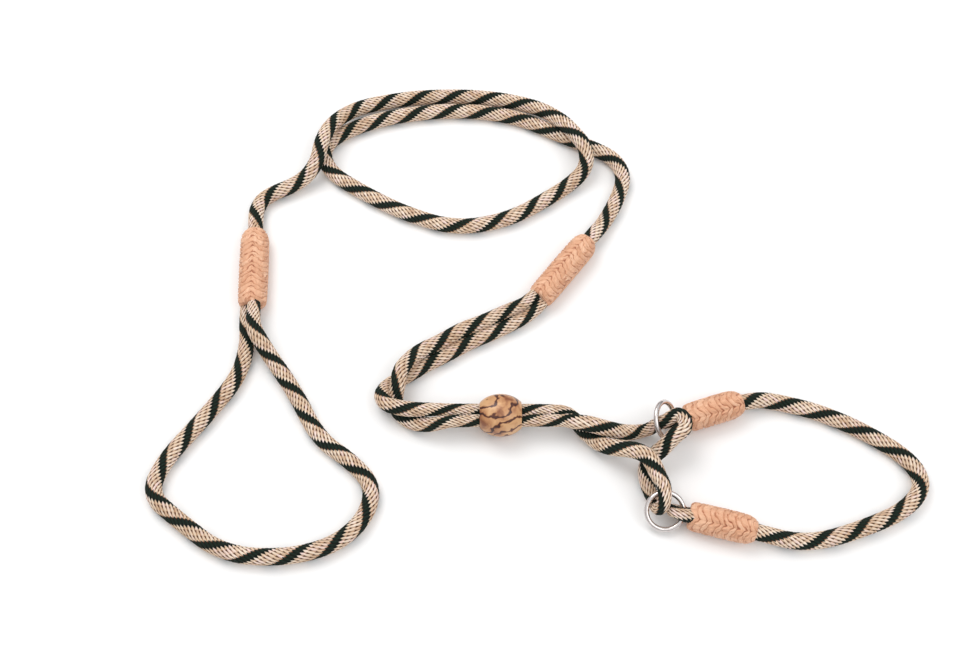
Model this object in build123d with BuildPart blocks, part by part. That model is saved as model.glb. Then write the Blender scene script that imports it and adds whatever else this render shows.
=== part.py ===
"""Martingale rope halter: lead line, hand loop, sliding bead and a noseband on two rings.

One braided rope makes the hand loop, the lead line and the doubled control loop. It is cut into
three pieces where the whippings hide it. A second rope makes the noseband, with an eye round a
ring at each end. The halter lies on the XY plane, +Z up, with its origin at the centre of its base.
Dimensions are in millimetres.
"""
import os
from math import radians, tan

from build123d import *

# Driving dimensions
rope_d = 10.0  # free rope
pair_d = 8.8  # each strand of the doubled loop, pressed against the other
ring_pass_d = 7.6  # the loop where it is drawn through a ring
eye_d = 6.8  # the noseband's eye, pulled tight round its ring
neck_d = 6.8  # a strand on its way into a whipping or through the bead

ring_inner_d = 18.8
ring_wire_d = 3.1
ring_r = (ring_inner_d + ring_wire_d) / 2  # centre of the ring to centre of the wire

bead_d = 26.0
bead_length = 25.4
bead_face_d = 16.0
bead_bore_d = 14.6

whipping_d = 16.6
bundle_d = 14.0  # the two strands that a whipping binds together
seam = 0.2  # between the two bound strands
mouth_r = 1.1  # rounding of a whipping's open end
shoulder = 4.5  # length over which a whipping closes down to a single rope
plug = 5.0  # the single rope's end inside a whipping

bend_share = 0.45  # part of a run that an arc takes up at each of its ends

# Frame of each whipping: centre of its open end, and the point where the single rope leaves
hand_mouth = Vector(-180.5, -1.3, 8.3)
hand_neck = Vector(-183, 53.6, 8.3)
lead_mouth = Vector(3.6, 3.8, 8.3)
lead_neck = Vector(36, 46.6, 8.3)
upper_mouth = Vector(92.3, -82, 9)
upper_neck = Vector(125.7, -71.1, 9)
lower_mouth = Vector(89.5, -145.2, 9)
lower_neck = Vector(126.8, -154.9, 9)

# Direction from the lower bound strand to the upper one
hand_stack = Vector(0, 0, 1)
lead_stack = Vector(-0.69, 0.52, 0.5)
upper_stack = Vector(0.077, -0.348, 0.934)
lower_stack = Vector(-0.145, -0.461, 0.875)

# Rings: centre, normal, and the direction of the point where the noseband's eye holds the wire
upper_ring_centre = Vector(77.35, -86.95, 16.95)
upper_ring_normal = Vector(0.78, -0.202, 0.592)
upper_ring_hold = Vector(0.625, 0.287, -0.726)
lower_ring_centre = Vector(74.3, -142.4, 9.77)
lower_ring_normal = Vector(0, -0.485, 0.875)
lower_ring_hold = Vector(0.989, -0.127, -0.07)

bead_centre = Vector(-22.1, -82.2, 13.5)

# Rope routes, point by point. An arc passes inside each point.
hand_loop_route = [
    (-180.5, -1.3, 4.9), (-180.2, -13, 4.9), (-180.5, -27, 5), (-184.5, -51, 5), (-203, -79, 5),
    (-225, -108, 5), (-232, -130, 5), (-213, -146, 5), (-185, -167, 5), (-150, -170, 5),
    (-119, -162, 5), (-102, -145, 5), (-98, -125, 5), (-112, -109, 5), (-133, -94, 5),
    (-149, -63, 5.2), (-166, -39, 7.5), (-176.5, -24, 14), (-180, -14, 14.5), (-180.5, -1.3, 11.7),
]
lead_line_route = [
    (-183, 53.6, 8.3), (-183.6, 62, 7.4), (-184.5, 73, 5), (-179.5, 84, 5), (-155, 94.5, 6.5),
    (-144.5, 106, 14), (-143, 119, 16.6), (-139, 132, 15.8), (-132, 144, 12.6), (-120, 156, 8),
    (-101, 163.5, 5.6), (-73, 168.5, 5), (-32, 168, 5.4), (2, 158.5, 7.5), (19, 143.5, 13),
    (28, 130.5, 16), (37, 116, 16.6), (37, 104, 9.5), (27.5, 95, 5.2), (12, 83, 5), (-16, 65, 5),
    (-51, 58, 5), (-85, 70, 5), (-114, 87, 5), (-139, 105, 5), (-143, 126, 5), (-124, 141, 5),
    (-93, 152, 5), (-50, 157, 5), (-10, 151, 5), (17, 136.5, 5), (41, 124.5, 5), (57, 115, 5),
    (63, 99.5, 5), (57, 81, 5), (47.5, 62.5, 5.2), (41, 53.5, 7.4), (36, 46.6, 8.3),
]
control_loop_route = [
    (1.3, 5.6, 10), (-3.8, -1.1, 10.2), (-16.5, -6.5, 9.95), (-32.5, -15, 9.5), (-46, -20.5, 9.4),
    (-59.5, -29.5, 9.5), (-72.5, -37, 11.1), (-79.5, -45, 13.3), (-84, -52, 14.6), (-85, -60, 13.55),
    (-86.5, -65, 9.8), (-87, -69.5, 5.8), (-85, -76, 4.5), (-77.5, -83, 5.2), (-67, -86.5, 8.8),
    (-58, -87, 12.8), (-51.5, -85.75, 13.5), (13, -85.75, 13.5), (18.5, -86.5, 15.3),
    (24.2, -88.5, 17.4), (31.5, -89.8, 17.4), (39.4, -90.2, 14.8), (46.9, -90.3, 10.6),
    (54.5, -89.9, 6.4), (63, -89.3, 5.4), (68.5, -89.8, 10), (72.6, -89.2, 16.8), (77, -89.2, 21),
    (82, -87.2, 23), (87.6, -86.4, 23.8), (91.6, -89.8, 23.8), (91.4, -95, 23.4), (87, -98, 22.6),
    (81.5, -100.6, 19.8), (75.5, -104.2, 15.4), (70, -107, 10.6), (66.2, -110.8, 7.6),
    (64.2, -115.5, 6), (63.9, -121, 5.4), (65, -126.5, 5.6), (67.5, -132.5, 5.8),
    (69.5, -138.3, 7.3), (70.3, -142, 11.5), (72.5, -141.8, 16.6), (74.8, -137.5, 20.5),
    (75.3, -131, 21), (73.3, -124, 19.6), (71.1, -117, 19.2), (66, -111.7, 19.2),
    (60.2, -108.3, 18.8), (53.8, -107.1, 18), (47.4, -105.6, 15.4), (41.3, -102.2, 10.8),
    (36, -96.8, 6.8), (30, -90, 5.8), (24, -83.4, 7.2), (18.5, -79.5, 11), (13, -78.65, 13.5),
    (-51.5, -78.65, 13.5), (-62.5, -78.4, 13.9), (-73.7, -78.9, 14.5), (-84.2, -77.6, 14.4),
    (-92.7, -74.1, 12.7), (-95.9, -65.5, 8.1), (-92, -57.9, 4.6), (-84.8, -53.5, 4.6),
    (-77.6, -49.1, 4.5), (-67.8, -42.3, 4.5), (-55.6, -35.8, 4.5), (-42, -27.2, 4.5),
    (-28.9, -21.3, 4.6), (-10.5, -11.9, 4.6), (0.8, -4.8, 6.2), (5.9, 2, 6.6),
]
noseband_route = [
    (125.7, -71.1, 9), (134.5, -68.4, 7.6), (149, -69.5, 5.2), (172, -75.5, 5), (198, -88, 5),
    (225, -107.5, 5), (231, -125, 5), (217, -140.5, 5), (191, -151.5, 5), (166, -159.3, 5),
    (149, -159.7, 5.4), (136.3, -157.3, 7.6), (126.8, -154.9, 9),
]
# The eye in its own plane: distance from the wire towards the whipping, and height above the wire
eye_profile = [(1.6, 5.5), (-3.6, 5.7), (-6.8, 2.9), (-6.8, -2.9), (-3.6, -5.7), (1.6, -5.5)]
eye_foot = 3.6  # height of each leg where it enters the whipping

os.makedirs("parts", exist_ok=True)


def points(route):
    """A route's points as vectors."""
    return [Vector(*p) for p in route]


def arc_radii(route, cut_start, cut_end):
    """The radius at each corner: bend_share of the shorter run, over the tangent of half the turn.

    A span that is cut in the middle of a run counts that run at its full length.
    """
    runs = [(b - a).length for a, b in zip(route, route[1:])]
    if cut_start:
        runs[0] *= 2
    if cut_end:
        runs[-1] *= 2
    radii = []
    for before, after, a, b, c in zip(runs, runs[1:], route, route[1:], route[2:]):
        half_turn = radians((b - a).get_angle(c - b)) / 2
        radii.append(bend_share * min(before, after) / tan(half_turn))
    return radii


def tube(name, route, diameter, cut_start=False, cut_end=False):
    """A rope of one diameter along straight runs joined by tangent arcs."""
    radii = arc_radii(route, cut_start, cut_end)
    with BuildPart() as span:
        with BuildLine() as path:
            FilletPolyline(*route, radius=radii)
        with BuildSketch(Plane(origin=route[0], z_dir=route[1] - route[0])):
            Circle(diameter / 2)
        sweep(path=path.wires()[0])
    length = path.wires()[0].length
    drawn = span.part.volume / (length * Circle(diameter / 2, mode=Mode.PRIVATE).area)
    print(f"{name}: {length:.0f} long, volume {drawn:.3f} of section x length,"
          f" radii {[round(r, 1) for r in radii]}")
    return span.part


def spans(name, route, cuts):
    """Tubes end to end along one route.

    Each cut is (run, diameter): the tube has that diameter up to the middle of that run.
    """
    route = points(route)
    pieces = []
    start = 0
    first = route[0]
    for run, diameter in cuts:
        last = run is None
        end = len(route) if last else run + 1
        stop = route[-1] if last else (route[run] + route[run + 1]) / 2
        inner = route[start + 1:end - 1] if last else route[start + 1:end]
        pieces.append(tube(name, [first, *inner, stop], diameter, start > 0, not last))
        start = run
        first = stop
    return pieces


def square_to(direction, axis):
    """The part of a direction that is square to an axis."""
    return (direction - axis * direction.dot(axis)).normalized()


def bound_strand(mouth, neck, stack, side):
    """Half of the round bundle inside a whipping: one strand, pressed into a half circle."""
    axis = (neck - mouth).normalized()
    with BuildPart() as strand:
        with BuildSketch(Plane(origin=mouth, x_dir=square_to(stack, axis), z_dir=axis)):
            Circle(bundle_d / 2)
            with Locations((side * (seam - bundle_d) / 2, 0)):
                Rectangle(bundle_d, bundle_d, mode=Mode.SUBTRACT)
        extrude(amount=(neck - mouth).length - plug)
    return strand.part


def bundle(mouth, neck, stack):
    """The two bound strands of a whipping."""
    return [bound_strand(mouth, neck, stack, 1), bound_strand(mouth, neck, stack, -1)]


def rope_plug(mouth, neck):
    """The single rope from the end of the bundle to the closed end of the whipping."""
    axis = (neck - mouth).normalized()
    with BuildPart() as stub:
        with BuildSketch(Plane(origin=neck - axis * plug, z_dir=axis)):
            Circle(rope_d / 2)
        extrude(amount=plug)
    return stub.part


def whipping(mouth, neck):
    """A woven sleeve: open round the bundle, and closed down to the single rope at its other end."""
    length = (neck - mouth).length
    axis = (neck - mouth).normalized()
    outer, inner, rope = whipping_d / 2, bundle_d / 2, rope_d / 2
    rim = rope + 1
    radial = square_to(Vector(0, 0, 1), axis)
    with BuildPart() as sleeve:
        # The profile's plane has its Y direction along the sleeve
        with BuildSketch(Plane(origin=mouth, x_dir=radial, z_dir=radial.cross(axis))):
            with BuildLine():
                Polyline((inner, 0), (outer - mouth_r, 0))
                RadiusArc((outer - mouth_r, 0), (outer, mouth_r), -mouth_r)
                Polyline((outer, mouth_r), (outer, length - shoulder))
                Spline((outer, length - shoulder), (rim, length), tangents=[(0, 1), (-1, 0.3)])
                Polyline((rim, length), (rope, length), (rope, length - plug),
                         (inner, length - plug), (inner, 0))
            make_face()
        revolve(axis=Axis(mouth, axis))
    return sleeve.part


def noseband_eye(name, centre, hold, mouth, stack):
    """The eye: out of the whipping, round the ring's wire and back, in the plane of the stack."""
    wire = centre + hold.normalized() * ring_r
    out = mouth - wire
    reach = out.length
    out = out.normalized()
    up = square_to(stack, out)
    corners = [(reach, eye_foot), *eye_profile, (reach, -eye_foot)]
    return tube(name, [wire + out * x + up * y for x, y in corners], eye_d)


def ring(centre, normal, hold):
    """A welded steel ring of round wire."""
    normal = normal.normalized()
    with BuildPart() as hoop:
        radial = square_to(hold, normal)
        with BuildSketch(Plane(origin=centre, x_dir=radial, z_dir=normal.cross(radial))):
            with Locations((ring_r, 0)):
                Circle(ring_wire_d / 2)
        revolve(axis=Axis(centre, normal))
    return hoop.part


# Hand loop: both ends enter the hand whipping, one above the other
hand_spans = spans("hand_loop", hand_loop_route, [(1, neck_d), (16, rope_d), (None, neck_d)])
hand_bundle = bundle(hand_mouth, hand_neck, hand_stack)
with BuildPart() as hand_loop:
    add(hand_spans)
    add(hand_bundle)

# Lead line: from the hand whipping, once round in an open loop, to the lead whipping
lead_spans = spans("lead_line", lead_line_route, [(None, rope_d)])
lead_plugs = [rope_plug(hand_mouth, hand_neck), rope_plug(lead_mouth, lead_neck)]
with BuildPart() as lead_line:
    add(lead_spans)
    add(lead_plugs)

# Control loop: down through the bead, through the upper ring and the lower ring, and back
control_spans = spans(
    "control_loop",
    control_loop_route,
    [
        (2, neck_d),
        (14, pair_d),
        (18, neck_d),
        (24, pair_d),
        (35, ring_pass_d),
        (39, pair_d),
        (46, ring_pass_d),
        (55, pair_d),
        (59, neck_d),
        (71, pair_d),
        (None, neck_d),
    ],
)
control_bundle = bundle(lead_mouth, lead_neck, lead_stack)
with BuildPart() as control_loop:
    add(control_spans)
    add(control_bundle)

# Noseband: a band with an eye at each end
noseband_spans = spans("noseband", noseband_route, [(None, rope_d)])
noseband_eyes = [
    noseband_eye("upper eye", upper_ring_centre, upper_ring_hold, upper_mouth, upper_stack),
    noseband_eye("lower eye", lower_ring_centre, lower_ring_hold, lower_mouth, lower_stack),
]
upper_bundle = bundle(upper_mouth, upper_neck, upper_stack)
lower_bundle = bundle(lower_mouth, lower_neck, lower_stack)
noseband_plugs = [rope_plug(upper_mouth, upper_neck), rope_plug(lower_mouth, lower_neck)]
with BuildPart() as noseband:
    add(noseband_spans)
    add(noseband_eyes)
    add(upper_bundle)
    add(lower_bundle)
    add(noseband_plugs)

# Whippings
hand_sleeve = whipping(hand_mouth, hand_neck)
with BuildPart() as hand_whipping:
    add(hand_sleeve)

lead_sleeve = whipping(lead_mouth, lead_neck)
with BuildPart() as lead_whipping:
    add(lead_sleeve)

upper_sleeve = whipping(upper_mouth, upper_neck)
with BuildPart() as upper_whipping:
    add(upper_sleeve)

lower_sleeve = whipping(lower_mouth, lower_neck)
with BuildPart() as lower_whipping:
    add(lower_sleeve)

# Rings
upper_hoop = ring(upper_ring_centre, upper_ring_normal, upper_ring_hold)
with BuildPart() as upper_ring:
    add(upper_hoop)

lower_hoop = ring(lower_ring_centre, lower_ring_normal, lower_ring_hold)
with BuildPart() as lower_ring:
    add(lower_hoop)

# Bead: a ball with flattened ends, bored along X for both strands
with BuildPart() as bead:
    with BuildSketch(Plane(origin=bead_centre, x_dir=(1, 0, 0), z_dir=(0, -1, 0))):
        with BuildLine():
            Polyline((-bead_length / 2, bead_bore_d / 2), (-bead_length / 2, bead_face_d / 2))
            ThreePointArc(
                (-bead_length / 2, bead_face_d / 2),
                (0, bead_d / 2),
                (bead_length / 2, bead_face_d / 2),
            )
            Polyline(
                (bead_length / 2, bead_face_d / 2),
                (bead_length / 2, bead_bore_d / 2),
                (-bead_length / 2, bead_bore_d / 2),
            )
        make_face()
    revolve(axis=Axis(bead_centre, (1, 0, 0)))

pieces = {
    "hand_loop": hand_loop,
    "lead_line": lead_line,
    "control_loop": control_loop,
    "noseband": noseband,
    "hand_whipping": hand_whipping,
    "lead_whipping": lead_whipping,
    "upper_whipping": upper_whipping,
    "lower_whipping": lower_whipping,
    "upper_ring": upper_ring,
    "lower_ring": lower_ring,
    "bead": bead,
}
for name, piece in pieces.items():
    piece.part.label = name
    export_step(piece.part, f"parts/{name}.step")
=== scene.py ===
# %% [markdown]
# # A martingale rope halter
#
# One braided rope makes a hand loop, a lead line and a doubled control loop. The control loop runs
# through a wooden bead and two steel rings, and a second rope joins the rings as a noseband. Woven
# whippings bind the ropes. Here every surface is worked out with numpy on a grid that follows its
# rope or its axis, so that braid and weave are real relief. Lengths are in metres.

from math import pi, radians, tan

import bpy
import numpy as np
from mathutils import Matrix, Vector


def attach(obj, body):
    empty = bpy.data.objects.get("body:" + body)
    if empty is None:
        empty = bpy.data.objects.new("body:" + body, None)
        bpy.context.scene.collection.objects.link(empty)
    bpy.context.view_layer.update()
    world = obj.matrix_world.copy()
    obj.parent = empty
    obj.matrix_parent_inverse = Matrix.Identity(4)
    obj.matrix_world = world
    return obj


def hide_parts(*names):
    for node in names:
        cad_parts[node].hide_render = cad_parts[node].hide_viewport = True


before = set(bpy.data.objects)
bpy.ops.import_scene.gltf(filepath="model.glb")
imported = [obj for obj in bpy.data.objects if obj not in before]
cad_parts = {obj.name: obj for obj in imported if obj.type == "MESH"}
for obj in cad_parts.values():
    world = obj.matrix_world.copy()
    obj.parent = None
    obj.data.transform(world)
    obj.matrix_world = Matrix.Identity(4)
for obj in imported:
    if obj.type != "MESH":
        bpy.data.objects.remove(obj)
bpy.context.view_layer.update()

# %% [markdown]
# ## Camera
#
# The halter lies flat and is seen from a raised place at its near side, with a normal lens. The
# camera leans 29 degrees away from straight down.

# %% Camera
camera_data = bpy.data.cameras.new("camera")
camera_data.lens = 50
camera_data.sensor_width = 36
camera = bpy.data.objects.new("camera", camera_data)
camera.location = (-0.031, -0.43085, 0.75742)
camera.rotation_euler = (radians(29), 0, 0)
bpy.context.scene.collection.objects.link(camera)
bpy.context.scene.camera = camera
print("camera at", tuple(camera.location))

# %% [markdown]
# ## Rope routes
#
# Each route is a short list of places that the rope passes near. A NURBS spline of order 3 uses them
# as control points and turns them into one smooth line. Both ends of each route lie inside a
# whipping. The rope lifts over itself at two crossings of the lead line and where the control
# loop's strands cross, and it goes up through both rings.

# %% Routes
hand_loop_route = [
    (-0.1841, 0.0037, 0.0052), (-0.1841, -0.013, 0.005), (-0.1816, -0.027, 0.005), (-0.1845, -0.051, 0.005),
    (-0.203, -0.079, 0.005), (-0.225, -0.108, 0.005), (-0.232, -0.13, 0.005), (-0.213, -0.146, 0.005),
    (-0.185, -0.167, 0.005), (-0.15, -0.17, 0.005), (-0.119, -0.162, 0.005), (-0.102, -0.145, 0.005),
    (-0.098, -0.125, 0.005), (-0.112, -0.109, 0.005), (-0.133, -0.094, 0.005), (-0.149, -0.063, 0.0052),
    (-0.166, -0.039, 0.0075), (-0.1765, -0.024, 0.014), (-0.1786, -0.014, 0.0126),
    (-0.1789, 0.0037, 0.0102),
]
lead_line_route = [
    (-0.1827, 0.0476, 0.0083), (-0.1836, 0.062, 0.0074), (-0.1845, 0.073, 0.005), (-0.1795, 0.084, 0.005),
    (-0.155, 0.0945, 0.0065), (-0.1445, 0.106, 0.014), (-0.143, 0.119, 0.0166), (-0.139, 0.132, 0.0158),
    (-0.132, 0.144, 0.0126), (-0.12, 0.156, 0.008), (-0.101, 0.1635, 0.0056), (-0.073, 0.1685, 0.005),
    (-0.032, 0.168, 0.0054), (0.002, 0.1585, 0.0075), (0.019, 0.1435, 0.013), (0.028, 0.1305, 0.016),
    (0.037, 0.116, 0.0166), (0.037, 0.104, 0.0095), (0.0275, 0.095, 0.0052), (0.012, 0.083, 0.005),
    (-0.016, 0.065, 0.005), (-0.051, 0.058, 0.005), (-0.085, 0.07, 0.005), (-0.114, 0.087, 0.005),
    (-0.139, 0.105, 0.005), (-0.143, 0.126, 0.005), (-0.124, 0.141, 0.005), (-0.093, 0.152, 0.005),
    (-0.05, 0.157, 0.005), (-0.01, 0.151, 0.005), (0.017, 0.1365, 0.005), (0.041, 0.1245, 0.005),
    (0.057, 0.115, 0.005), (0.063, 0.0995, 0.005), (0.057, 0.081, 0.005), (0.0475, 0.0625, 0.0052),
    (0.041, 0.0535, 0.0074), (0.0324, 0.0418, 0.0083),
]
control_loop_route = [
    (0.0043, 0.0096, 0.0102), (-0.0038, -0.0011, 0.0102), (-0.0165, -0.0065, 0.00995),
    (-0.0325, -0.015, 0.0095), (-0.046, -0.0205, 0.0094), (-0.0595, -0.0295, 0.0095),
    (-0.0725, -0.037, 0.0111), (-0.0795, -0.045, 0.0133), (-0.084, -0.052, 0.0146),
    (-0.085, -0.06, 0.01355), (-0.0865, -0.065, 0.0098), (-0.087, -0.0695, 0.0058),
    (-0.085, -0.076, 0.0045), (-0.0775, -0.083, 0.0052), (-0.067, -0.0865, 0.0088),
    (-0.058, -0.087, 0.0128), (-0.0515, -0.08575, 0.0135), (0.013, -0.08575, 0.0135),
    (0.0185, -0.0865, 0.0153), (0.0242, -0.0885, 0.0174), (0.0315, -0.0898, 0.0174),
    (0.0394, -0.0909, 0.0148), (0.0469, -0.0911, 0.0106), (0.0545, -0.0906, 0.0064),
    (0.063, -0.0893, 0.0054), (0.0685, -0.0898, 0.01), (0.0726, -0.0892, 0.0168), (0.077, -0.0892, 0.021),
    (0.081, -0.0872, 0.023), (0.0846, -0.0864, 0.0238), (0.0876, -0.0898, 0.0238), (0.0874, -0.095, 0.0234),
    (0.0835, -0.098, 0.0226), (0.0795, -0.1006, 0.0198), (0.0755, -0.1042, 0.0154), (0.07, -0.107, 0.0106),
    (0.0662, -0.1108, 0.0076), (0.0646, -0.1155, 0.006), (0.0649, -0.121, 0.0054), (0.066, -0.1265, 0.0056),
    (0.0678, -0.1325, 0.0058), (0.0695, -0.1383, 0.0073), (0.0703, -0.142, 0.0115),
    (0.0725, -0.1418, 0.0166), (0.0734, -0.1375, 0.0205), (0.0733, -0.131, 0.021), (0.0704, -0.124, 0.0196),
    (0.0681, -0.117, 0.0192), (0.0652, -0.1117, 0.0192), (0.0602, -0.1083, 0.0188),
    (0.0538, -0.1063, 0.018), (0.0474, -0.1047, 0.0154), (0.0413, -0.1013, 0.0108),
    (0.036, -0.0968, 0.0068), (0.03, -0.09, 0.0058), (0.024, -0.0834, 0.0072), (0.0185, -0.0795, 0.011),
    (0.013, -0.07865, 0.0135), (-0.0515, -0.07865, 0.0135), (-0.0625, -0.0784, 0.0139),
    (-0.0737, -0.0789, 0.0145), (-0.0842, -0.0776, 0.0144), (-0.0927, -0.0741, 0.0127),
    (-0.0959, -0.0655, 0.0081), (-0.092, -0.0579, 0.0046), (-0.0848, -0.0535, 0.0046),
    (-0.0776, -0.0491, 0.0045), (-0.0678, -0.0423, 0.0045), (-0.0556, -0.0358, 0.0045),
    (-0.042, -0.0272, 0.0045), (-0.0289, -0.0213, 0.0046), (-0.0105, -0.0119, 0.0046),
    (0.0008, -0.0048, 0.0062), (0.0089, 0.006, 0.0064),
]
noseband_route = [
    (0.12, -0.073, 0.009), (0.1345, -0.0684, 0.0076), (0.149, -0.0695, 0.0052), (0.172, -0.0755, 0.005),
    (0.198, -0.088, 0.005), (0.225, -0.1075, 0.005), (0.231, -0.125, 0.005), (0.217, -0.1405, 0.005),
    (0.191, -0.1515, 0.005), (0.166, -0.1593, 0.005), (0.149, -0.1597, 0.0054), (0.1363, -0.1573, 0.0076),
    (0.121, -0.1534, 0.009),
]
upper_eye_route = [
    (0.0964, -0.082, 0.0114), (0.0862, -0.0854, 0.0141), (0.0811, -0.0866, 0.0143),
    (0.0778, -0.0863, 0.0117), (0.0773, -0.0843, 0.0063), (0.0802, -0.0826, 0.0037),
    (0.0853, -0.0815, 0.0039), (0.096, -0.0802, 0.0066),
]
lower_eye_route = [
    (0.0929, -0.1476, 0.0113), (0.0858, -0.1468, 0.0138), (0.0809, -0.1453, 0.014),
    (0.0782, -0.143, 0.0115), (0.0791, -0.1404, 0.0065), (0.0826, -0.1401, 0.004),
    (0.0875, -0.1418, 0.0042), (0.0937, -0.1452, 0.0067),
]

# %% [markdown]
# ## From a route to a line with a frame
#
# Blender turns the spline into points when it makes a mesh of a curve that has no bevel. The line is
# then divided evenly along its length. Each place on it gets three directions: along the rope, up
# and sideways. Carrying `up` from one ring to the next, and taking off only what points along the
# rope, keeps the braid from spinning where the rope climbs.

# %% Line helpers
def spline_points(name, route):
    """Points of the NURBS spline that has the route as its control points."""
    curve = bpy.data.curves.new(name, "CURVE")
    curve.dimensions = "3D"
    curve.resolution_u = 32
    spline = curve.splines.new("NURBS")
    spline.points.add(len(route) - 1)
    spline.points.foreach_set("co", np.c_[np.array(route), np.ones(len(route))].ravel())
    spline.order_u = 3
    spline.use_endpoint_u = True
    holder = bpy.data.objects.new(name, curve)
    bpy.context.scene.collection.objects.link(holder)
    mesh = bpy.data.meshes.new_from_object(holder)
    line = np.empty(len(mesh.vertices) * 3)
    mesh.vertices.foreach_get("co", line)
    bpy.data.objects.remove(holder)
    bpy.data.meshes.remove(mesh)
    bpy.data.curves.remove(curve)
    return line.reshape(-1, 3)


def unit(vectors):
    """Vectors scaled to length 1: each divided by the root of the sum of its squares."""
    return vectors / np.linalg.norm(vectors, axis=-1, keepdims=True)


def evenly(line, step):
    """The line in equal steps: distance along it, the points there, and their old point numbers."""
    travelled = np.r_[0, np.cumsum(np.linalg.norm(np.diff(line, axis=0), axis=1))]
    along = np.linspace(0, travelled[-1], int(travelled[-1] / step) + 1)
    points = np.stack([np.interp(along, travelled, line[:, k]) for k in range(3)], axis=1)
    return along, points, np.interp(along, travelled, np.arange(len(line)))


def carried_frame(points, first_up=(0, 0, 1)):
    """Up and side at each ring: the last ring's up less its part along the line, and along x up."""
    tangent = unit(np.gradient(points, axis=0))
    up = np.empty_like(points)
    last = np.array(first_up, float)
    for ring, ahead in enumerate(tangent):
        last = last - ahead * (last @ ahead)
        last = last / np.linalg.norm(last)
        up[ring] = last
    return up, np.cross(tangent, up)


# %% [markdown]
# ## From a grid to a mesh
#
# A tube is a grid of rings by places around the ring. Neighbouring grid points make four-sided
# faces, and one flat face closes each end. The place in the pattern goes into a UV map. Numbers that
# only the finish needs, such as the depth of a groove, go into attributes.

# %% Mesh helper
def grid_piece(name, shell, uv, attributes, material, loop=False):
    """A mesh over shell[ring, around]. With loop, the last ring joins the first, as on a torus."""
    rings, around = shell.shape[:2]
    index = np.arange(rings * around).reshape(rings, around)
    last = rings if loop else rings - 1
    here, ahead = index, np.roll(index, -1, axis=0)
    corners = [here, np.roll(here, -1, axis=1), np.roll(ahead, -1, axis=1), ahead]
    faces = np.stack([c[:last] for c in corners], axis=-1).reshape(-1, 4).tolist()
    if not loop:
        faces += [index[0, ::-1].tolist(), index[-1].tolist()]
    mesh = bpy.data.meshes.new(name)
    mesh.from_pydata(shell.reshape(-1, 3), [], faces)
    mesh.polygons.foreach_set("use_smooth", np.ones(len(faces), bool))
    corner_uv = np.zeros((len(mesh.loops), 2))
    quads = np.stack([uv[:-1, :-1], uv[:-1, 1:], uv[1:, 1:], uv[1:, :-1]], axis=2)[:last]
    corner_uv[: quads.size // 2] = quads.reshape(-1, 2)
    mesh.uv_layers.new(name="surface").data.foreach_set("uv", corner_uv.ravel())
    for key, values in attributes.items():
        layer = mesh.attributes.new(key, "FLOAT", "POINT")
        layer.data.foreach_set("value", np.ascontiguousarray(values, dtype=np.float32).ravel())
    mesh.materials.append(material)
    mesh.update()
    piece = bpy.data.objects.new(name, mesh)
    bpy.context.scene.collection.objects.link(piece)
    print(f"{name}: {len(mesh.vertices)} points, {2 * len(faces)} triangles")
    return piece


# %% [markdown]
# ## Material helpers
#
# A material is a small network of nodes in front of the Principled shader. These helpers add one
# node, read an attribute, mix two colours, look a colour up and raise fine relief.

# %% Node helpers
def start_material(name, roughness, **sockets):
    """A Principled material, its node tree and its shader, with plain numbers set on the sockets."""
    material = bpy.data.materials.new(name)
    material.use_nodes = True
    shader = material.node_tree.nodes["Principled BSDF"]
    shader.inputs["Roughness"].default_value = roughness
    for key, value in sockets.items():
        shader.inputs[key.replace("_", " ")].default_value = value
    return material, material.node_tree, shader


def node(tree, kind, inputs=(), **settings):
    """A new node. Inputs are pairs of socket and a value, or a socket to link from."""
    made = tree.nodes.new(kind)
    for key, value in settings.items():
        setattr(made, key, value)
    for socket, value in inputs:
        if isinstance(value, bpy.types.NodeSocket):
            tree.links.new(value, made.inputs[socket])
        else:
            made.inputs[socket].default_value = value
    return made


def attribute(tree, name):
    """The value of a float attribute of the mesh."""
    return node(tree, "ShaderNodeAttribute", attribute_name=name).outputs["Fac"]


def mix(tree, amount, first, second, blend="MIX"):
    """first where amount is 0, second where it is 1."""
    made = tree.nodes.new("ShaderNodeMix")
    made.data_type = "RGBA"
    made.blend_type = blend
    for slot, value in ((0, amount), (6, first), (7, second)):
        if isinstance(value, bpy.types.NodeSocket):
            tree.links.new(value, made.inputs[slot])
        else:
            made.inputs[slot].default_value = value
    return made.outputs[2]


def ramp(tree, value, stops):
    """A colour ramp through (position, colour) stops."""
    made = node(tree, "ShaderNodeValToRGB", [("Fac", value)])
    elements = made.color_ramp.elements
    elements[0].position, elements[0].color = stops[0]
    elements[1].position, elements[1].color = stops[-1]
    for position, color in stops[1:-1]:
        elements.new(position).color = color
    return made.outputs["Color"]


def bump(tree, shader, height, distance, strength=1.0):
    """Fine relief from a height, on the shader's normal."""
    made = node(
        tree, "ShaderNodeBump", [("Height", height), ("Distance", distance), ("Strength", strength)]
    )
    tree.links.new(made.outputs["Normal"], shader.inputs["Normal"])


# %% [markdown]
# ## Braided rope: the pattern
#
# Unrolled, the rope's surface is a strip: one direction is the distance along the rope, the other is
# the angle round it. Columns wind round it to the left, one turn in 49 mm, and fine yarns cross
# them on the other slant. Both are straight lines on the strip, so two numbers say where a point is
# in the braid: its column and its yarn line. The shape and the finish use the same two numbers, and
# the finish reads them from the UV map.

# %% Braid values
ROPE_D = 0.010
COLUMNS = 8
TURN_LENGTH = 0.049
YARNS_ROUND = 13
YARN_SLANT = radians(31)
RELIEF_DEPTH = 0.0007
RING_STEP = 0.00072
AROUND = 80
TRACER_SHARE = 0.36
TOOTH_DEPTH = 0.60
OFFSET_COLUMNS = 3.7
YARN_PUFF = 0.00012
FLOOR_GAP = 0.00003


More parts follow.
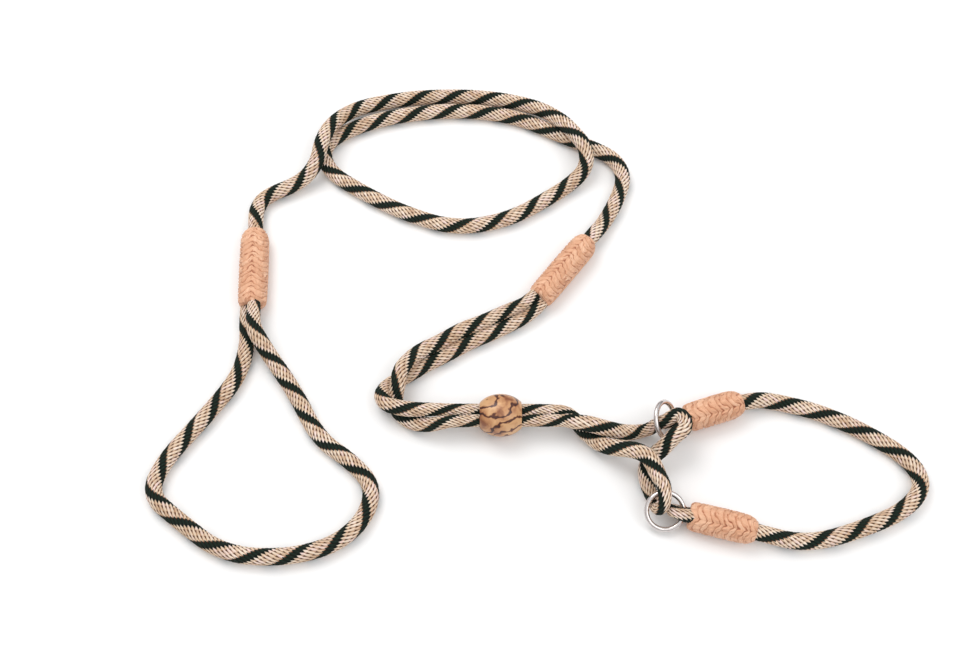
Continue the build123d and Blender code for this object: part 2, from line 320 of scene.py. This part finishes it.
def braid(along, angle, offset):
    """Column and yarn line of points on the unrolled rope.

    column = columns x (angle / full turn + along / turn length), constant along a tracer.
    yarn line = yarns round x angle / full turn - along x tan(slant) / (circumference / yarns round).
    """
    turn = angle / (2 * pi)
    column = COLUMNS * (turn + along / TURN_LENGTH) + offset * OFFSET_COLUMNS
    yarn_line = YARNS_ROUND * turn - along * tan(YARN_SLANT) * YARNS_ROUND / (pi * ROPE_D) + offset
    return column, yarn_line


# %% [markdown]
# ## Braided rope: the finish
#
# The yarns are soft polyester in cream, tan and a little pink. In two bands, half a turn apart, they
# are a green so dark that it is nearly black. A band's edges are toothed, because each yarn changes
# colour where it dives under its neighbour. Light hardly reaches the grooves between yarns, and
# least of all the small pits where a groove meets the edge of a column.

# %% Rope material
rope_finish, tree, shader = start_material("braided_rope", 0.8, Specular_IOR_Level=0.25)


def compute(tree, operation, first, second=0.0):
    """The result of one arithmetic node."""
    return node(tree, "ShaderNodeMath", [(0, first), (1, second)], operation=operation).outputs[0]


def peak_distance(tree, value):
    """0 in the middle of each whole step of the value, and 1 at its ends: |2 x fraction - 1|."""
    doubled = compute(tree, "MULTIPLY", compute(tree, "FRACT", value), 2.0)
    return compute(tree, "ABSOLUTE", compute(tree, "SUBTRACT", doubled, 1.0))


surface = node(tree, "ShaderNodeUVMap", uv_map="surface").outputs[0]
split = node(tree, "ShaderNodeSeparateXYZ", [("Vector", surface)])
column, yarn_line = split.outputs["X"], split.outputs["Y"]
groove_nearness = peak_distance(tree, yarn_line)
toothed = compute(tree, "ADD", column, compute(tree, "MULTIPLY", groove_nearness, -TOOTH_DEPTH))
band = compute(tree, "FRACT", compute(tree, "DIVIDE", toothed, COLUMNS / 2))
tracer = ramp(
    tree,
    band,
    [
        (0.0, (1, 1, 1, 1)),
        (TRACER_SHARE - 0.01, (1, 1, 1, 1)),
        (TRACER_SHARE + 0.01, (0, 0, 0, 1)),
        (0.99, (0, 0, 0, 1)),
        (1.0, (1, 1, 1, 1)),
    ],
)
cell = node(
    tree,
    "ShaderNodeCombineXYZ",
    [("X", compute(tree, "FLOOR", toothed)), ("Y", compute(tree, "FLOOR", yarn_line))],
)
chance = node(tree, "ShaderNodeTexWhiteNoise", [("Vector", cell.outputs[0])]).outputs["Value"]
yarn = ramp(
    tree,
    chance,
    [
        (0.0, (0.72, 0.54, 0.40, 1)),
        (0.3, (0.88, 0.72, 0.57, 1)),
        (0.7, (0.95, 0.84, 0.72, 1)),
        (1.0, (0.94, 0.77, 0.74, 1)),
    ],
)
fibre_space = node(tree, "ShaderNodeMapping", [("Vector", surface), ("Scale", (1.1, 5.0, 1.0))])
fibres = node(
    tree,
    "ShaderNodeTexNoise",
    [("Vector", fibre_space.outputs[0]), ("Scale", 1.0), ("Detail", 4.0)],
)
place = node(tree, "ShaderNodeTexCoord").outputs["Object"]
cloud = node(tree, "ShaderNodeTexNoise", [("Vector", place), ("Scale", 60.0), ("Detail", 3.0)])
handled = ramp(tree, cloud.outputs["Fac"], [(0.35, (0.86, 0.80, 0.74, 1)), (0.6, (1, 1, 1, 1))])
dark_yarn = mix(tree, fibres.outputs["Fac"], (0.001, 0.003, 0.002, 1), (0.010, 0.030, 0.018, 1))
both = mix(tree, tracer, mix(tree, 1.0, yarn, handled, "MULTIPLY"), dark_yarn)
groove_shade = ramp(
    tree,
    groove_nearness,
    [
        (0.0, (1, 1, 1, 1)),
        (0.5, (0.95, 0.91, 0.87, 1)),
        (0.82, (0.72, 0.59, 0.49, 1)),
        (1.0, (0.48, 0.33, 0.23, 1)),
    ],
)
pit = compute(tree, "MULTIPLY", groove_nearness, peak_distance(tree, toothed))
pit_shade = ramp(tree, pit, [(0.32, (1, 1, 1, 1)), (0.58, (0.16, 0.08, 0.05, 1))])
fibre_shade = ramp(tree, fibres.outputs["Fac"], [(0.3, (0.86, 0.83, 0.80, 1)), (0.6, (1, 1, 1, 1))])
lit = mix(tree, 1.0, mix(tree, 1.0, both, groove_shade, "MULTIPLY"), pit_shade, "MULTIPLY")
tree.links.new(mix(tree, 1.0, lit, fibre_shade, "MULTIPLY"), shader.inputs["Base Color"])
fibre_height = compute(tree, "MULTIPLY", fibres.outputs["Fac"], 0.5)
relief_height = compute(tree, "SUBTRACT", fibre_height, groove_nearness)
bump(tree, shader, relief_height, 0.0004, 0.8)

# %% [markdown]
# ## Braided rope: the shape
#
# The rope's radius follows the yarns: a rounded hump across each yarn, a little lower at the edges
# of the columns. The soft rope is thinner where it is pulled through a ring, a bead or a whipping,
# and it is flattened where it lies on the floor.

# %% Rope function
def rope(name, route, widths, offset, cad_nodes):
    """A braided rope along a route, riding on its body in place of its CAD node.

    radius = diameter / 2 + puff - depth x (1 - hump), hump = sqrt(1 - w^2) x (1 - 0.30 u^4), with w and u
    the places across a yarn and a column, from -1 to 1.
    widths are (point number, diameter) along the route. The spline passes point i at i - 1/2.
    """
    line = spline_points(name, route)
    along, points, number = evenly(line, RING_STEP)
    up, side = carried_frame(points)
    place_on_route = number / (len(line) - 1) * (len(route) - 2) + 0.5
    diameter = np.interp(place_on_route, [w[0] for w in widths], [w[1] for w in widths])
    angle = np.linspace(0, 2 * pi, AROUND + 1)
    grid_along, grid_angle = np.meshgrid(along, angle, indexing="ij")
    column, yarn_line = braid(grid_along, grid_angle, offset)
    across_yarn = 2 * (yarn_line % 1.0) - 1
    across_column = 2 * (column % 1.0) - 1
    hump = np.sqrt(1 - across_yarn**2 * 0.98) * (1 - 0.30 * across_column**4)
    radius = diameter[:, None] / 2 + YARN_PUFF - RELIEF_DEPTH * (1 - hump)
    cosine, sine = np.cos(grid_angle)[..., None], np.sin(grid_angle)[..., None]
    ring = cosine * up[:, None] + sine * side[:, None]
    shell = (points[:, None] + radius[..., None] * ring)[:, :-1]
    shell[..., 2] = np.maximum(shell[..., 2], FLOOR_GAP)
    piece = grid_piece(name, shell, np.stack([column, yarn_line], axis=-1), {}, rope_finish)
    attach(piece, "root")
    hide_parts(*cad_nodes)
    thin, thick = diameter.min() * 1000, diameter.max() * 1000
    print(f"{name}: {along[-1] * 1000:.0f} mm long, {thin:.1f} to {thick:.1f} mm thick")
    return piece


# %% [markdown]
# ## The ropes
#
# The width lists say where each rope is squeezed. The hand loop is thin only where both its legs go
# into the whipping. The lead line is full width all along. The control loop is pressed along its
# doubled run, thin in the bead and again where it is drawn through the rings.

# %% Ropes
rope(
    "hand_loop_rope",
    hand_loop_route,
    [
        (0, 0.0084), (1, 0.0090), (2.5, ROPE_D), (17, ROPE_D), (18, 0.0088), (18.7, 0.0078),
        (19, 0.0076),
    ],
    0.10,
    ["hand_loop"],
)
rope(
    "lead_line_rope",
    lead_line_route,
    [(0, 0.0096), (2, ROPE_D), (35, ROPE_D), (37, 0.0096)],
    0.55,
    ["lead_line"],
)
rope(
    "control_loop_rope",
    control_loop_route,
    [
        (0, 0.0072), (1.5, 0.0082), (4, 0.0098), (13.5, 0.0096), (15.6, 0.0076), (17.4, 0.0074),
        (18.4, 0.0090), (20, 0.0098), (23, 0.0096), (24.5, 0.0080), (27, 0.0080), (29, 0.0092),
        (31, 0.0098), (36, 0.0098), (38, 0.0090), (40, 0.0080), (44.5, 0.0080), (46.5, 0.0100),
        (54, 0.0100),
        (55.6, 0.0090), (56.6, 0.0074), (58.4, 0.0076), (60.5, 0.0094), (70, 0.0096),
        (72.5, 0.0080), (74, 0.0072),
    ],
    0.30,
    ["control_loop"],
)
rope(
    "noseband_rope",
    noseband_route,
    [(0, 0.0096), (2, ROPE_D), (10, ROPE_D), (12, 0.0096)],
    0.80,
    ["noseband"],
)
rope(
    "upper_eye_rope",
    upper_eye_route,
    [(0, 0.0088), (1, 0.0080), (2, 0.0070), (5, 0.0070), (6, 0.0080), (7, 0.0088)],
    0.05,
    ["noseband"],
)
rope(
    "lower_eye_rope",
    lower_eye_route,
    [(0, 0.0088), (1, 0.0081), (2, 0.0071), (5, 0.0071), (6, 0.0081), (7, 0.0088)],
    0.45,
    ["noseband"],
)

# %% [markdown]
# ## Woven whippings
#
# A whipping is flat waxed cord woven round the rope in a herringbone: rows of arcs that meet at
# spines along the sleeve. Round the sleeve there are four spines, and a row every 3.8 mm. Each sleeve
# is rounded over the two strands at its open end, and drawn in to the single rope at the other.

# %% Whipping material
whipping_finish, tree, shader = start_material("woven_whipping", 0.62, Sheen_Weight=0.15)
cord_colour = ramp(
    tree,
    attribute(tree, "tone"),
    [(0.0, (0.72, 0.38, 0.225, 1)), (0.5, (0.80, 0.455, 0.285, 1)), (1.0, (0.86, 0.53, 0.35, 1))],
)
surface = node(tree, "ShaderNodeUVMap", uv_map="surface").outputs[0]
fibre_space = node(tree, "ShaderNodeMapping", [("Vector", surface), ("Scale", (5, 26, 1))])
fibres = node(
    tree,
    "ShaderNodeTexNoise",
    [("Vector", fibre_space.outputs[0]), ("Scale", 1.0), ("Detail", 3.0)],
)
# Painted shade: the cord's colour is darkened where the weave's relief is low, in the hollows between rows
# and at the spines.
groove_shade = ramp(
    tree,
    attribute(tree, "relief"),
    [(0.0, (0.36, 0.19, 0.13, 1)), (0.3, (0.74, 0.60, 0.52, 1)), (0.62, (1, 1, 1, 1))],
)
fibre_shade = ramp(tree, fibres.outputs["Fac"], [(0.3, (0.86, 0.80, 0.76, 1)), (0.65, (1, 1, 1, 1))])
ticks = node(tree, "ShaderNodeTexNoise", [("Vector", fibre_space.outputs[0]), ("Scale", 0.6)])
tick_shade = ramp(tree, ticks.outputs["Fac"], [(0.58, (1, 1, 1, 1)), (0.70, (0.62, 0.42, 0.34, 1))])
lit = mix(tree, 1.0, mix(tree, 1.0, cord_colour, groove_shade, "MULTIPLY"), tick_shade, "MULTIPLY")
tree.links.new(mix(tree, 1.0, lit, fibre_shade, "MULTIPLY"), shader.inputs["Base Color"])
bump(tree, shader, fibres.outputs["Fac"], 0.0002, 0.7)

# %% Whipping functions
SPINES = 4
ROW = 0.0038
WEAVE_DEPTH = 0.0010
SLEEVE_STEP = 0.00035
SLEEVE_AROUND = 144


def weave(along, angle):
    """Relief, tone and rows of the woven sleeve.

    rows = along / row + 1 - |2w|^1.6, where w is the place between two spines, from -1/2 to 1/2.
    relief = hump of the row x (1 - 0.45 x exp(-(distance to the spine / 0.06)^2)) less a tick in the
    groove at each spine, where the cord turns back under itself.
    """
    sector = SPINES * angle / (2 * pi)
    between = sector % 1.0 - 0.5
    wander = 0.13 * np.sin(2.0 * angle + 800 * along) + 0.10 * np.sin(5.0 * angle - 1500 * along)
    rows = along / ROW + 1.0 - np.abs(2 * between) ** 1.6 + wander
    part = rows % 1.0
    to_spine = 0.5 - np.abs(between)
    hump = np.clip(1 - (2 * part - 1) ** 2, 0, 1) ** 0.4 * (1 - 0.30 * np.cos(4 * pi * part))
    tick = np.exp(-((to_spine / 0.13) ** 2)) * np.exp(-((np.minimum(part, 1 - part) / 0.17) ** 2))
    relief = hump * (1 - 0.45 * np.exp(-((to_spine / 0.06) ** 2))) * (1 - 0.8 * tick)
    tone = (np.sin(np.floor(rows) * 12.9898 + np.floor(2 * sector) * 4.1) * 43758.5453) % 1.0
    return relief, tone, rows


def whipping(name, mouth, neck, wide, tall, turned, cad_node):
    """A woven sleeve from its mouth to its neck.

    radius = profile(distance) x (wide, tall) + (relief - 0.7) x depth, less where it closes in.
    The profile gives the part of the full radius at each distance from the mouth.
    """
    mouth, neck = np.array(mouth), np.array(neck)
    length = np.linalg.norm(neck - mouth)
    shape_at = np.r_[
        [-0.0012, -0.0014, -0.0012, -0.0004, 0.0010, 0.0030, 0.0070, length / 2],
        length + np.array([-0.0080, -0.0045, -0.0015, 0, 0.0006]),
    ]
    shape = np.array([0.30, 0.64, 0.80, 0.90, 0.955, 0.985, 1.0, 1.02, 1.0, 0.95, 0.80, 0.66, 0.40])
    travelled = np.r_[0, np.cumsum(np.hypot(np.diff(shape_at), np.diff(shape) * wide))]
    steps = np.linspace(0, travelled[-1], int(travelled[-1] / SLEEVE_STEP))
    along = np.interp(steps, travelled, shape_at)
    width = np.interp(steps, travelled, shape)
    smooth = np.ones(5) / 5
    width[2:-2] = np.convolve(width, smooth, "valid")
    ahead = (neck - mouth) / length
    up = unit(np.array([0, 0, 1.0]) - ahead * ahead[2])
    side = np.cross(ahead, up)
    angle = np.linspace(0, 2 * pi, SLEEVE_AROUND, endpoint=False)
    grid_steps, grid_angle = np.meshgrid(steps, angle, indexing="ij")
    relief, tone, _ = weave(grid_steps, grid_angle + turned)
    fade = np.clip(width / 0.9, 0, 1)[:, None]
    lift = (relief - 0.7) * WEAVE_DEPTH * fade
    flat = (mouth + along[:, None] * ahead)[:, None]
    shell = (
        flat
        + (np.cos(grid_angle) * (width[:, None] * tall + lift))[..., None] * up
        + (np.sin(grid_angle) * (width[:, None] * wide + lift))[..., None] * side
    )
    shell[..., 2] = np.maximum(shell[..., 2], 0.00005)
    full_turn = np.linspace(0, 2 * pi, SLEEVE_AROUND + 1)
    seam_steps, seam_angle = np.meshgrid(steps, full_turn, indexing="ij")
    rows = weave(seam_steps, seam_angle + turned)[2]
    uv = np.stack([seam_angle / (2 * pi) * 6, rows / 8], axis=-1)
    piece = grid_piece(name, shell, uv, {"relief": relief, "tone": tone}, whipping_finish)
    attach(piece, "root")
    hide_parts(cad_node)
    return piece


# %% Whippings
for name, mouth, neck, wide, turned in (
    ("hand_whipping", (-0.1805, -0.0013, 0.0083), (-0.183, 0.0536, 0.0083), 0.0090, 0.0),
    ("lead_whipping", (0.0036, 0.0038, 0.0083), (0.036, 0.0466, 0.0083), 0.0084, 0.1),
    ("upper_whipping", (0.0923, -0.082, 0.009), (0.1257, -0.0711, 0.009), 0.0085, 5.7),
    ("lower_whipping", (0.0895, -0.1452, 0.009), (0.1268, -0.1549, 0.009), 0.0085, 5.8),
):
    whipping(f"{name}_weave", mouth, neck, wide, 0.0083, turned, name)

# %% [markdown]
# ## Steel rings
#
# Each ring is round wire bent to a circle and butt welded. The weld leaves a low, slightly uneven
# swelling, which sits under the noseband's eye. The steel is polished, with faint rubbing marks.

# %% Steel material
steel_finish, tree, shader = start_material("polished_steel", 0.16, Metallic=1.0)
place = node(tree, "ShaderNodeTexCoord").outputs["Object"]
haze = node(tree, "ShaderNodeTexNoise", [("Vector", place), ("Scale", 260.0), ("Detail", 4.0)])
steel_colour = mix(tree, haze.outputs["Fac"], (0.78, 0.73, 0.71, 1), (0.60, 0.55, 0.54, 1))
tree.links.new(steel_colour, shader.inputs["Base Color"])
rough = node(
    tree,
    "ShaderNodeMapRange",
    [("Value", haze.outputs["Fac"]), ("To Min", 0.10), ("To Max", 0.26)],
)
tree.links.new(rough.outputs["Result"], shader.inputs["Roughness"])
bump(tree, shader, haze.outputs["Fac"], 0.00004, 0.5)


# %% Rings
RING_RADIUS, WIRE_RADIUS = 0.01095, 0.00155
RING_PLACES, WIRE_PLACES = 144, 32


def steel_ring(name, centre, normal, hold, body):
    """A torus: centre + (R + r cos b) x radial(a) + r sin b x normal.

    The wire's radius r is larger at the weld, where a = 0.
    """
    normal = unit(np.array(normal))
    first = unit(np.array(hold) - normal * (np.array(hold) @ normal))
    second = np.cross(normal, first)
    turn = np.linspace(0, 2 * pi, RING_PLACES, endpoint=False)
    around_wire = np.linspace(0, 2 * pi, WIRE_PLACES, endpoint=False)
    a, b = np.meshgrid(turn, around_wire, indexing="ij")
    from_weld = (a + pi) % (2 * pi) - pi
    wire = WIRE_RADIUS * (1 + 0.05 * np.exp(-((from_weld / 0.09) ** 2)) * (1 + 0.4 * np.sin(5 * b)))
    radial = np.cos(a)[..., None] * first + np.sin(a)[..., None] * second
    shell = np.array(centre) + (RING_RADIUS + wire * np.cos(b))[..., None] * radial
    shell = shell + (wire * np.sin(b))[..., None] * normal
    shell = shell[:, ::-1]
    uv_turn, uv_wire = np.linspace(0, 9, RING_PLACES + 1), np.linspace(0, 1, WIRE_PLACES + 1)
    uv = np.stack(np.meshgrid(uv_turn, uv_wire, indexing="ij"), axis=-1)
    piece = grid_piece(name, shell, uv, {}, steel_finish, loop=True)
    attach(piece, body)
    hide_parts(body)
    return piece


steel_ring(
    "upper_steel_ring",
    (0.07735, -0.08695, 0.01695),
    (0.78, -0.202, 0.592),
    (0.625, 0.287, -0.726),
    "upper_ring",
)
steel_ring(
    "lower_steel_ring",
    (0.0743, -0.1424, 0.00977),
    (0, -0.485, 0.875),
    (0.989, -0.127, -0.07),
    "lower_ring",
)

# %% [markdown]
# ## Wooden bead
#
# The bead is turned from pale burl: a ball with small flat ends, bored for two strands, its edges
# sanded round. Dark brown veins swirl through the wood. They are the troughs of a wave pattern whose
# bands noise has bent.

# %% Wood material
wood_finish, tree, shader = start_material("burl_wood", 0.38, Coat_Weight=0.2, Coat_Roughness=0.22)
place = node(tree, "ShaderNodeTexCoord").outputs["Object"]
lean = (radians(35), radians(24), radians(10))
tilted = node(tree, "ShaderNodeMapping", [("Vector", place), ("Rotation", lean)])
veins = node(
    tree,
    "ShaderNodeTexWave",
    [
        ("Vector", tilted.outputs[0]),
        ("Scale", 54.0),
        ("Distortion", 10.0),
        ("Detail", 3.0),
        ("Detail Scale", 1.3),
        ("Detail Roughness", 0.55),
    ],
    bands_direction="Z",
)
clouds = node(
    tree,
    "ShaderNodeTexNoise",
    [("Vector", place), ("Scale", 95.0), ("Detail", 6.0), ("Distortion", 0.6)],
)
grain = ramp(
    tree,
    clouds.outputs["Fac"],
    [(0.36, (0.25, 0.085, 0.035, 1)), (0.47, (0.52, 0.25, 0.11, 1)), (0.60, (0.68, 0.39, 0.19, 1))],
)
vein_shade = ramp(
    tree,
    veins.outputs["Fac"],
    [
        (0.0, (0.10, 0.045, 0.05, 1)),
        (0.09, (0.19, 0.08, 0.06, 1)),
        (0.19, (0.78, 0.68, 0.60, 1)),
        (0.34, (1, 1, 1, 1)),
    ],
)
tree.links.new(mix(tree, 1.0, grain, vein_shade, "MULTIPLY"), shader.inputs["Base Color"])
bump(tree, shader, clouds.outputs["Fac"], 0.0001, 0.3)

# %% Bead
BEAD_CENTRE = np.array([-0.0221, -0.0822, 0.0135])
BORE, BALL, HALF_AXIS = 0.0073, 0.0130, 0.01587
BEAD_AROUND = 96
# Outer curve: r = ball x root of (1 - (x / half axis)^2), up to where it is just wider than the bore
reach = HALF_AXIS * np.sqrt(1 - ((BORE + 0.0006) / BALL) ** 2)
outer_x = reach * np.sin(np.linspace(-pi / 2, pi / 2, 70))
outer_r = BALL * np.sqrt(1 - (outer_x / HALF_AXIS) ** 2)
inner_x = np.linspace(reach - 0.0003, -reach + 0.0003, 30)
profile_x = np.r_[outer_x, reach + 0.0001, inner_x, -reach - 0.0001]
profile_r = np.r_[outer_r, BORE + 0.0002, np.full(30, BORE), BORE + 0.0002]
turn = np.linspace(0, 2 * pi, BEAD_AROUND, endpoint=False)
shell = np.stack(
    [
        np.broadcast_to(profile_x[:, None], (len(profile_x), BEAD_AROUND)),
        profile_r[:, None] * np.cos(turn),
        profile_r[:, None] * np.sin(turn),
    ],
    axis=-1,
)
shell = (shell + BEAD_CENTRE)[:, ::-1]
uv_profile, uv_turn = np.linspace(0, 1, len(profile_x) + 1), np.linspace(0, 1, BEAD_AROUND + 1)
uv = np.stack(np.meshgrid(uv_profile, uv_turn, indexing="ij"), axis=-1)
bead = grid_piece("wooden_bead", shell, uv, {}, wood_finish, loop=True)
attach(bead, "bead")
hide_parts("bead")

# %% [markdown]
# ## Floor and light
#
# A plain white floor, and broad soft lights, so that the shadows stay faint. The sky is a little
# darker near the horizon, which gives the polished rings something to mirror.

# %% Floor
floor_finish, tree, shader = start_material("white_floor", 0.9)
shader.inputs["Base Color"].default_value = (0.93, 0.93, 0.93, 1)
floor_mesh = bpy.data.meshes.new("floor")
floor_mesh.from_pydata([(-40, -40, 0), (40, -40, 0), (40, 40, 0), (-40, 40, 0)], [], [(0, 1, 2, 3)])
floor_mesh.materials.append(floor_finish)
floor = bpy.data.objects.new("floor", floor_mesh)
bpy.context.scene.collection.objects.link(floor)


# %% Lights
def soft_light(name, place, aim, size, power):
    """A square light of that size at place, turned to face aim."""
    data = bpy.data.lights.new(name, "AREA")
    data.size = size
    data.energy = power
    lamp = bpy.data.objects.new(name, data)
    lamp.location = place
    lamp.rotation_euler = (Vector(aim) - Vector(place)).to_track_quat("-Z", "Y").to_euler()
    bpy.context.scene.collection.objects.link(lamp)


soft_light("key_light", (-0.5, 0.5, 1.2), (0, 0, 0), 0.8, 7)
soft_light("fill_light", (0.7, -0.5, 1.1), (0, 0, 0), 1.0, 4)

world = bpy.data.worlds.new("studio")
bpy.context.scene.world = world
world.use_nodes = True
tree = world.node_tree
sky_place = node(tree, "ShaderNodeTexCoord").outputs["Generated"]
height = node(tree, "ShaderNodeSeparateXYZ", [("Vector", sky_place)]).outputs["Z"]
sky = ramp(
    tree,
    height,
    [(0.0, (0.20, 0.19, 0.19, 1)), (0.35, (0.60, 0.60, 0.60, 1)), (0.6, (1, 1, 1, 1))],
)
tree.links.new(sky, tree.nodes["Background"].inputs["Color"])
tree.nodes["Background"].inputs["Strength"].default_value = 0.9
bpy.context.scene.view_settings.view_transform = "Standard"
